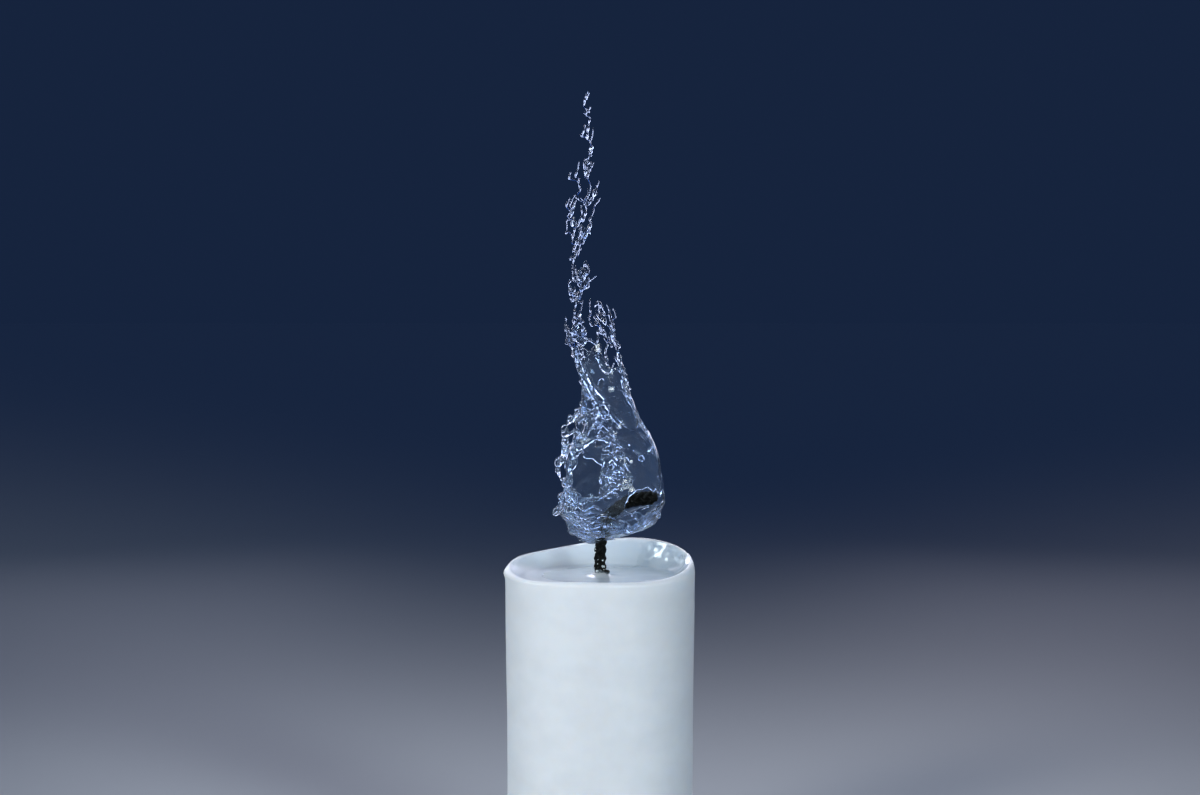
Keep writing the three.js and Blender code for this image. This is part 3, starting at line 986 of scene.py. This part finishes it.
def window_edge(points):
    """Distance from the edge of the nearest window, less than 0 in the opening."""
    edge = np.full(len(points), NO_WINDOW, np.float32)
    wobble = WINDOW_WOBBLE * Waves(WINDOW_SEED, WINDOW_WAVE)(points)[0]
    for side, (x, z), (half_width, half_height), tilt in WINDOWS:
        turn = math.radians(tilt)
        across, up = points[:, 0] - x, points[:, 2] - z
        u = (across * math.cos(turn) + up * math.sin(turn)) / half_width
        v = (up * math.cos(turn) - across * math.sin(turn)) / half_height
        away = (np.sqrt(u**2 + v**2) - 1) * min(half_width, half_height) + wobble
        edge = np.minimum(edge, np.where(points[:, 1] * side > -0.4, away, NO_WINDOW))
    return edge


# Where the water is calm and clear: centre, and half width and height.
CALM = (
    ((11.8, 20.8), (5.6, 3.6)),
    ((12.6, 28.6), (3.2, 4.6)),
    ((-3.9, 27.2), (3.7, 5.6)),
    ((7.4, 44.0), (2.2, 3.4)),
    ((-1.6, 55.6), (2.2, 4.4)),
)
# The busy band that climbs over the bag's front to the column: its middle at each height.
BAND_HEIGHTS = (24, 34, 44, 53, 60, 75)
BAND_MIDDLE = (3.4, 3.2, -0.5, -4.5, -6.5, -6)
BAND_WIDTH = 2.9
COLUMN_FOOT = 58  # where the veil ends and the streaks begin
EDGE_TOP = 48  # where the ragged left edge ends


def liveliness(points):
    """How busy the water is, from 0, calm, to 1: most in the bowl, on the left and up the column."""
    px, pz = points[:, 0], points[:, 2]
    bowl = bell(px + 1, 9) * bell(pz - 13.5, 5.5)
    left = smoothstep(-px - 0.3 * (pz - 20), 3, 9) * (pz < EDGE_TOP)
    band = bell(px - np.interp(pz, BAND_HEIGHTS, BAND_MIDDLE), BAND_WIDTH) * (pz > 22)
    column = smoothstep(pz, COLUMN_FOOT, 70)
    patches = [bell((px - x) / width, 1) * bell((pz - z) / height, 1) for (x, z), (width, height) in CALM]
    still = np.clip(1.5 * np.max(patches, axis=0), 0, 1)
    return np.clip(0.5 * bowl + 0.8 * left + band + column + 0.25, 0, 1) * (1 - still)


# The waves that shape the film: a seed, added to the splash's own, their length and their stretch.
SWELL = (0, 9, 1)
RIPPLE = (1, 3.6, 1)
TEARS = (3, 4.2, 2.6)
BROAD_RIDGES = (4, 7.5, 1.5)
RIDGES = (5, 3.8, 1.3)
LACE = (6, 3.6, 1)
FINE_RIDGES = (8, 2.3, 1)
# How much water there is between the tears at each height: less than 0 where it is mostly torn.
TEAR_HEIGHTS = (40, 52, 58, 64, 68)
TEAR_BIAS = (2.2, 1.3, 0.6, -0.6, -1.5)
LACE_CLOSED, LACE_OPEN = 3.2, 2.95
SWELL_HEIGHT, RIPPLE_HEIGHT = 0.36, 0.1
# The least slopes that waves are taken to have, so that a distance worked out from one stays finite.
RIDGE_SLOPE, TEAR_SLOPE, LACE_SLOPE = 0.08, 0.25, 0.4


def fill_film(field, settings):
    """The bag: a thin film with ripples and a net of ridges, torn into ribbons towards the top."""
    x, y, z = (a.astype(np.float32) for a in np.meshgrid(*field.axes, indexing="ij", sparse=True))
    away = film_distance(x, y, z)
    near = np.abs(away) < field.FAR
    where = np.nonzero(near)
    points = np.stack([axis[index] for axis, index in zip(field.axes, where)], axis=1)
    px, pz = points[:, 0], points[:, 2]
    busy = liveliness(points)

    def waves(kind):
        """The waves' value and slope at each point."""
        seed, wave_length, stretch = kind
        value, gradient = Waves(settings.seed + seed, wave_length, stretch)(points)
        return value, np.linalg.norm(gradient, axis=1)

    away = away[near] + SWELL_HEIGHT * waves(SWELL)[0] + RIPPLE_HEIGHT * busy * waves(RIPPLE)[0]
    film = settings.film / MM / 2
    water = np.abs(away) - film

    def ridges(kind, radius, fillet):
        value, slope = waves(kind)
        return blend(water, np.hypot(away, value / np.maximum(slope, RIDGE_SLOPE)) - radius, fillet)

    # Windows, and the tears that open as the water thins towards the top.
    windows = window_edge(points)
    value, slope = waves(TEARS)
    bias = np.interp(pz, TEAR_HEIGHTS, TEAR_BIAS)
    bias = bias - 1.9 * bell(px + 10.2, 2.6) * (pz < EDGE_TOP) * (pz > 17)
    torn = np.minimum(windows, (value + bias) / np.maximum(slope, TEAR_SLOPE))
    # Where it is busiest the film is lace: open between the ridges.
    value, slope = waves(LACE)
    lace = smoothstep(busy, 0.5, 0.85) * np.where(pz > COLUMN_FOOT, 1, smoothstep(-points[:, 1], 0, 2))
    holes = (LACE_CLOSED - LACE_OPEN * lace - np.abs(value)) / np.maximum(slope, LACE_SLOPE)
    opening = np.minimum(torn, holes)
    edge_rope = np.hypot(away, opening) - (film + 0.03 + 0.05 * busy)

    water = np.maximum(water, -opening)
    water = ridges(BROAD_RIDGES, film + 0.04 + 0.05 * busy, 0.08)
    water = ridges(RIDGES, film - 0.05 + 0.11 * busy, 0.08)
    water = ridges(FINE_RIDGES, film - 0.07 + 0.1 * busy * (pz < COLUMN_FOOT), 0.06)
    water = np.maximum(water, -torn)
    field.distance[where] = np.minimum(blend(water, edge_rope, 0.1), field.FAR)


TABLE_ROPE = 0.4  # the rope radius in the settings that the radii in the tables are meant for
ROPE_STEP = 0.25  # between the points of a rope
WANDER, ROPE_SWELL = 0.16, 0.28
ROPE_FILLET, TWIG_FILLET, FINE_FILLET = 0.15, 0.12, 0.1
TAPER = 2.5  # the length over which a rope's ends thin out
THINNEST = 0.2  # any thinner and a rope would break up on the cells
SEEDS = 1000  # for each rope's own waves
RING = full_turn(24)


def add_ropes(field, settings):
    """The ropes, which wander a little and have small swellings along them, and the bubbles' rings."""
    random = np.random.default_rng(settings.seed)
    thick = settings.rope / MM / TABLE_ROPE
    for side, radius, points in ROPES:
        line = on_splash(along(points, ROPE_STEP), side)
        wander = Waves(int(random.integers(SEEDS)), 5.0)(line.astype(np.float32))[1]
        line = line + WANDER * wander
        swell = Waves(int(random.integers(SEEDS)), 2.2)(line.astype(np.float32))[0]
        radii = radius * thick * (1 + ROPE_SWELL * swell)
        from_end = np.minimum(np.arange(len(line)), np.arange(len(line))[::-1]) * ROPE_STEP
        radii = radii * np.clip(0.55 + from_end / TAPER, 0, 1)
        field.add_rope(line, np.maximum(radii, THINNEST), ROPE_FILLET)
    for side, radius, centre in BUBBLES:
        ring = 0.8 * radius * np.stack((np.cos(RING), 0 * RING, np.sin(RING)), axis=1)
        field.add_rope(on_splash([centre], side) + ring, np.full(len(RING), 0.22), FINE_FILLET)


HAIR = 0.19  # radius of the thinnest water above the veil
STREAK_STEP = 0.15
STREAK_TOP = SPLASH_TOP - 0.4
STREAK_TAPER = ((0, 0.12, 0.4, 1), (0.6, 1, 0.95, 0.55))  # how thick a streak is along its length


def all_streaks(random):
    """The streaks from the lowest up, with up to two smaller ones beside each: radius, foot, tip, side."""
    streaks = []
    for radius, foot, tip in STREAKS:
        streaks.append((radius, foot, tip, random.uniform(-1, 1)))
        for _ in range(random.integers(0, 3)):
            aside, lift, reach = random.normal(0, 0.75), random.uniform(-1.2, 1.6), random.uniform(0.3, 0.8)
            start = np.array(foot) + (aside, lift)
            end = start + reach * (np.array(tip) - foot) + (random.normal(0.1, 0.15), 0)
            end[1] = min(end[1], STREAK_TOP)
            streaks.append((random.uniform(0.2, 0.26), start, end, random.uniform(-1, 1)))
    return sorted(streaks, key=lambda streak: streak[1][1])


def add_streaks(field, settings):
    """Adds the streaks. A hair of water joins each to the nearest water below. Returns both kinds' points."""
    random = np.random.default_rng(settings.seed + 300)
    streaks = all_streaks(random)
    joined = np.vstack([on_splash(along(points, 0.5), side) for side, _, points in ROPES])
    hairs = []
    lines = []
    for radius, foot, tip, side in streaks:
        middle = (np.array(foot) + tip) / 2 + random.normal(0, 0.18, 2)
        line = on_splash(along((foot, middle, tip), STREAK_STEP), side)
        swell = 1 + 0.35 * Waves(int(random.integers(SEEDS)), 1.6)(line.astype(np.float32))[0]
        radii = 0.88 * radius * swell * np.interp(np.linspace(0, 1, len(line)), *STREAK_TAPER)
        below = joined[joined[:, 2] < line[0, 2] + 0.3]
        nearest = below[np.linalg.norm((below - line[0]) * (1.4, 1, 1), axis=1).argmin()]
        bend = random.normal(0, 0.3, 3)
        hair = along((nearest, (nearest + line[0]) / 2 + bend, line[0]), STREAK_STEP)
        field.add_rope(hair, np.full(len(hair), HAIR), FINE_FILLET)
        field.add_rope(line, np.maximum(radii, HAIR), FINE_FILLET)
        joined = np.vstack((joined, line))
        hairs.append(hair)
        lines.append(line)
    return np.vstack(hairs), np.vstack(lines)


def tree_of(points):
    tree = kdtree.KDTree(len(points))
    for number, point in enumerate(points):
        tree.insert(point, number)
    tree.balance()
    return tree


def painted_shade_amount(points, hairs, lines):
    """How much painted shade darkens the water at each point, from 0 to 1: in the column, the bowl and the
    busy band, and most along the hairs.
    """
    z = points[:, 2]
    column = 0.42 * smoothstep(z, 55, 64)
    bowl = 0.24 * bell(z - 12, 6)
    band = 0.26 * liveliness(points) * bell(z - 42, 9)
    dim = column + bowl + band
    to_hair, to_line = tree_of(hairs), tree_of(lines)
    for k in np.nonzero(z > 60)[0]:
        hair = to_hair.find(points[k])[2]
        line = to_line.find(points[k])[2]
        if hair < 0.5:
            dim[k] += (1 - dim[k]) * smoothstep(line - hair, 0.05, 0.45)
    return dim


TWIGS = 70
TWIG_TAPER = ((0, 0.4, 0.8), (0.3, 0.21, 0.2))  # how thick a twig is along its length, before its bead


def add_twigs(field, settings):
    """Short fingers of water that branch off the ragged ropes, up and outwards, with a bead at the end."""
    random = np.random.default_rng(settings.seed + 100)
    ragged = [rope for rope in ROPES if rope[0] == EDGE or rope[2][-1][1] > 56]
    shares, thickness = TWIG_TAPER
    for _ in range(TWIGS):
        side, _, points = ragged[random.integers(len(ragged))]
        line = on_splash(along(points, 0.5), side)
        start = int(random.integers(2, len(line) - 2))
        root = line[start]
        flow = line[start + 1] - line[start - 1]
        flow = flow / np.linalg.norm(flow) * np.sign(flow[2] or 1)
        centre = splash_section(root[2:])[0][0]
        out = np.array((root[0] - centre, root[1] + random.normal(0, 1.2), 0))
        out = out / max(np.linalg.norm(out), 0.5)
        reach = random.uniform(1.0, 3.0)
        bend = random.normal(0, 0.3, 3)
        end = root + reach * (flow + random.uniform(0.02, 0.25) * out)
        twig = along((root, (root + end) / 2 + bend, end), 0.2)
        bead = random.uniform(0.22, 0.36)
        radii = np.interp(np.linspace(0, 1, len(twig)), (*shares, 1), (*thickness, bead))
        field.add_rope(twig, radii, TWIG_FILLET)


def add_loops(field, settings):
    """Small rings of water that hang on the ragged left edge."""
    random = np.random.default_rng(settings.seed + 200)
    edge = [point for side, _, points in ROPES if side == EDGE for point in points]
    for place in on_splash(along(edge, 0.9), EDGE):
        if random.uniform() < 0.25:
            continue
        size = random.uniform(0.35, 0.9)
        centre = place + (random.uniform(-0.9, 0.5), random.uniform(-1.6, 1.6), random.uniform(-0.4, 0.4))
        across = np.array((1, random.uniform(-0.7, 0.7), 0))
        up = np.array((random.uniform(-0.3, 0.3), random.uniform(-0.4, 0.4), random.uniform(1, 1.5)))
        ring = centre + size * (np.cos(RING)[:, None] * across + np.sin(RING)[:, None] * up)
        field.add_rope(ring, np.full(len(ring), random.uniform(0.19, 0.25)), TWIG_FILLET)


def surface_nets(field):
    """A closed mesh of quads where the field's distance crosses 0: one point in each cell that it crosses."""
    distance = field.distance
    inside = distance < 0
    cells = np.array(distance.shape) - 1

    def at(corner):
        return tuple(slice(c, c + n) for c, n in zip(corner, cells))

    corners = list(itertools.product((0, 1), repeat=3))
    total = sum(inside[at(c)].astype(np.int8) for c in corners)
    where = np.nonzero((total > 0) & (total < len(corners)))
    index = np.stack(where, axis=1)
    values = {c: distance[tuple((index + c).T)] for c in corners}
    place = np.zeros((len(index), 3))
    crossings = np.zeros((len(index), 1))
    for a, b in itertools.combinations(corners, 2):
        if sum(abs(p - q) for p, q in zip(a, b)) > 1:
            continue
        crossed = (values[a] < 0) != (values[b] < 0)
        t = values[a][crossed] / (values[a][crossed] - values[b][crossed])
        place[crossed] += np.array(a) + t[:, None] * (np.array(b) - a)
        crossings[crossed] += 1
    points = field.low + (index + place / crossings) * field.step
    number = np.full(cells, -1)
    number[where] = np.arange(len(index))

    faces = []
    for axis in range(3):
        one, two = np.eye(3, dtype=int)[(axis + 1) % 3], np.eye(3, dtype=int)[(axis + 2) % 3]
        step = np.eye(3, dtype=int)[axis]
        low = inside[tuple(slice(0, n - s) for n, s in zip(inside.shape, step))]
        high = inside[tuple(slice(s, n) for n, s in zip(inside.shape, step))]
        edge = np.stack(np.nonzero(low != high), axis=1)
        ring = (edge - one - two, edge - two, edge, edge - one)
        quads = np.stack([number[tuple(corner.T)] for corner in ring], axis=1)
        outward = low[tuple(edge.T)]
        faces.append(np.where(outward[:, None], quads, quads[:, ::-1]))
    return points, np.vstack(faces)


def largest_piece(points, faces):
    """Only the largest connected piece, so that no droplet floats by itself."""
    label = np.arange(len(points))
    links = np.vstack((faces[:, :2], faces[:, 1:3], faces[:, 2:]))
    while True:
        lowest = np.minimum(label[links[:, 0]], label[links[:, 1]])
        settled = label.copy()
        np.minimum.at(settled, links[:, 0], lowest)
        np.minimum.at(settled, links[:, 1], lowest)
        settled = settled[settled]
        if (settled == label).all():
            break
        label = settled
    names, counts = np.unique(label, return_counts=True)
    kept = label == names[counts.argmax()]
    number = np.cumsum(kept) - 1
    return points[kept], number[faces[kept[faces[:, 0]]]]


MARGIN = 1.6  # of cells round the water's box
WICK_ROOM, TIP_ROOM = 1.8, 0.3  # kept clear of water round the wick, and more round its swollen tip
WICK_STEP = 0.3


def water_mesh(settings):
    low = (WATER_LOW.x - MARGIN, WATER_LOW.y - MARGIN, WATER_LOW.z - POOL - MARGIN)
    high = (WATER_HIGH.x + MARGIN, WATER_HIGH.y + MARGIN, SPLASH_TOP + MARGIN)
    field = WaterField(low, high, settings.detail / MM)
    fill_film(field, settings)
    add_ropes(field, settings)
    hairs, lines = add_streaks(field, settings)
    add_twigs(field, settings)
    add_loops(field, settings)
    wick = along(WICK_PATH, WICK_STEP)
    from_tip = WICK_STEP * np.arange(len(wick))[::-1]
    field.clear(wick, WICK_ROOM + TIP_ROOM * (1 - smoothstep(from_tip, 5, 9)))
    points, faces = largest_piece(*surface_nets(field))
    mesh = mesh_of("water_splash", points + (0, 0, POOL), faces)
    set_attribute(mesh, "lively", liveliness(points))
    # dim: painted shade over the water
    set_attribute(mesh, "dim", painted_shade_amount(points, hairs, lines))
    return mesh


def thinned(name, made, triangles):
    """The same shape with at most so many triangles, fewest where it is flat."""
    decimate = made.modifiers.new("Thin out", "DECIMATE")
    decimate.ratio = min(1, triangles / (2 * len(made.data.polygons)))
    decimate.use_collapse_triangulate = True
    return plain_mesh(name, made)


PALE_WATER = (0.82, 0.9, 1.0)
# The dark blue colour of the painted shade in the water.
PAINTED_SHADE_WATER = (0.02, 0.06, 0.2, 1)
SWIRL_SCALE, NET_SCALE, NET_PATCH_SCALE = 520.0, 360.0, 190.0


def water_material(settings):
    material, tree, shader = material_tree("Clear water")
    place = object_place(tree)
    small = noise_node(tree, place, SWIRL_SCALE, 2.0)
    bent = vector_maths(tree, "ADD", place, scaled(tree, small["Color"], 2.2 * MM))
    edges = {"feature": "DISTANCE_TO_EDGE"}
    cells = add(tree, "ShaderNodeTexVoronoi", edges, Vector=bent, Scale=NET_SCALE).outputs["Distance"]
    net = map_range(tree, cells, (0.0, 0.045), (1.0, 0.0))
    # The net comes and goes in patches, and only where the water is lively.
    patches = ramp(tree, noise_node(tree, place, NET_PATCH_SCALE, 1.0)[0], (0.42, 0.0), (0.6, 1.0))
    height = maths(tree, "MULTIPLY", net, maths(tree, "MULTIPLY", stored(tree, "lively"), patches))
    tint = ramp(tree, small[0], (0.3, settings.tint), (0.75, PALE_WATER))
    feed(
        tree,
        shader,
        # Painted shade: where dim is high the water's colour goes darker and bluer.
        Base_Color=mixed(tree, stored(tree, "dim"), tint, PAINTED_SHADE_WATER),
        Roughness=0.0,
        IOR=1.333,
        Transmission_Weight=0.988,
    )
    feed_bump(tree, shader, height, 1.0, 0.1 * MM)
    return material


class OBJECT_OT_candle_splash(bpy.types.Operator):
    """Builds the splash of water that stands round the wick like a flame"""

    bl_idname = "object.candle_splash"
    bl_label = "Splash"

    def execute(self, context):
        settings = context.scene.melted_candle.splash
        mesh = water_mesh(settings)
        mesh.materials.append(water_material(settings))
        splash = thinned("water_splash", make_object("water", mesh), settings.triangles)
        splash.visible_shadow = False
        take_place_of(splash, "water_flame")
        return {"FINISHED"}


# ---- stage ----
FLOOR_REACH = 3000  # from the candle to the floor's edges
MIDDLE = (0, 0, POOL)
SPLASH_MIDDLE = (0, 0, POOL + 45)
LAVENDER = (0.82, 0.82, 1)
NARROW, WIDE = math.radians(24), math.radians(40)

# The softboxes: place and target, size in metres, power, tint, spread, and whether gloss and water show it.
LIGHTS = {
    "key": ((-660, -940, 540), MIDDLE, (0.4, 0.4), 0.285, (1, 0.965, 0.94), NARROW, False),
    "fill": ((560, -1020, 460), MIDDLE, (0.4, 0.4), 0.3, (0.87, 0.96, 1), NARROW, True),
    "side": ((-1000, 60, 560), MIDDLE, (0.4, 0.4), 0.21, (0.8, 0.94, 1), NARROW, True),
    "back_left": ((-300, 900, 340), SPLASH_MIDDLE, (0.25, 0.46), 0.094, LAVENDER, WIDE, True),
    "back_right": ((300, 900, 340), SPLASH_MIDDLE, (0.25, 0.46), 0.094, LAVENDER, WIDE, True),
    "back_top": ((0, 900, 560), SPLASH_MIDDLE, (0.6, 0.25), 0.135, LAVENDER, WIDE, True),
}


def soft_light(name, place, target, size, power, tint, spread, shown):
    light = bpy.data.lights.new(name, "AREA")
    light.shape = "RECTANGLE"
    light.size, light.size_y = size
    light.energy = power
    light.color = tint
    light.spread = spread
    made = make_object(name, light)
    made.location = Vector(place) * MM
    made.rotation_mode = "QUATERNION"
    made.rotation_quaternion = (Vector(target) - Vector(place)).to_track_quat("-Z", "Y")
    made.visible_camera = False
    made.visible_glossy = shown
    made.visible_transmission = shown


def add_floor(settings):
    corners = [(x * FLOOR_REACH, y * FLOOR_REACH, 0) for x, y in ((-1, -1), (1, -1), (1, 1), (-1, 1))]
    floor = mesh_of("floor", corners, [(0, 1, 2, 3)])
    material, tree, shader = material_tree("Plain pale floor")
    feed(tree, shader, Base_Color=opaque(settings.floor), Roughness=0.7)
    floor.materials.append(material)
    make_object("floor", floor)


def add_backdrop(scene, settings):
    """A dim light all round, a little brighter above than at the horizon."""
    scene.world = bpy.data.worlds.new("Dim backdrop")
    scene.world.use_nodes = True
    tree = scene.world.node_tree
    direction = add(tree, "ShaderNodeTexCoord").outputs["Generated"]
    up = add(tree, "ShaderNodeSeparateXYZ", Vector=direction).outputs["Z"]
    glow = ramp(tree, up, (0.06, settings.backdrop), (0.7, settings.overhead))
    feed(tree, tree.nodes["Background"], Color=glow)


def add_camera(scene, settings):
    camera = bpy.data.cameras.new("camera")
    camera.lens = settings.lens
    camera.sensor_width = 36
    made = make_object("camera", camera)
    aim = Vector((0, 0, POOL * MM + settings.above_pool))
    back = Vector((0, -math.cos(settings.pitch), math.sin(settings.pitch)))
    made.location = aim + back * settings.distance
    made.rotation_mode = "QUATERNION"
    made.rotation_quaternion = (-back).to_track_quat("-Z", "Y")
    scene.camera = made


class OBJECT_OT_candle_stage(bpy.types.Operator):
    """Adds the floor, the soft lights, the dim backdrop and the camera"""

    bl_idname = "object.candle_stage"
    bl_label = "Stage"

    def execute(self, context):
        settings = context.scene.melted_candle.stage
        add_floor(settings)
        for name, light in LIGHTS.items():
            soft_light(name, *light)
        add_backdrop(context.scene, settings)
        context.scene.view_settings.view_transform = "Standard"
        add_camera(context.scene, settings)
        return {"FINISHED"}


# ---- the add-on ----
class MeltedCandleSettings(bpy.types.PropertyGroup):
    wax: PointerProperty(type=CandleWaxSettings)
    wick: PointerProperty(type=CandleWickSettings)
    splash: PointerProperty(type=CandleSplashSettings)
    stage: PointerProperty(type=CandleStageSettings)


OPERATORS = (
    OBJECT_OT_candle_stage,
    OBJECT_OT_candle_wax,
    OBJECT_OT_candle_wick,
    OBJECT_OT_candle_sustainer,
    OBJECT_OT_candle_splash,
)


class VIEW3D_PT_melted_candle(bpy.types.Panel):
    """Lists the candle's settings and the operators that build it"""

    bl_idname = "VIEW3D_PT_melted_candle"
    bl_label = "Melted Candle"
    bl_space_type = "VIEW_3D"
    bl_region_type = "UI"
    bl_category = "Candle"

    def draw(self, context):
        settings = context.scene.melted_candle
        for group in (settings.wax, settings.wick, settings.splash, settings.stage):
            column = self.layout.box().column()
            for name in group.__annotations__:
                column.prop(group, name)
        for operator in OPERATORS:
            self.layout.operator(operator.bl_idname)


CLASSES = (
    CandleWaxSettings,
    CandleWickSettings,
    CandleSplashSettings,
    CandleStageSettings,
    MeltedCandleSettings,
    *OPERATORS,
    VIEW3D_PT_melted_candle,
)


def register():
    for each in CLASSES:
        bpy.utils.register_class(each)
    bpy.types.Scene.melted_candle = PointerProperty(type=MeltedCandleSettings)


def unregister():
    del bpy.types.Scene.melted_candle
    for each in reversed(CLASSES):
        bpy.utils.unregister_class(each)


def main():
    register()
    bpy.ops.object.candle_stage()
    bpy.ops.object.candle_wax()
    bpy.ops.object.candle_wick()
    bpy.ops.object.candle_sustainer()
    bpy.ops.object.candle_splash()


if __name__ == "__main__":
    main()
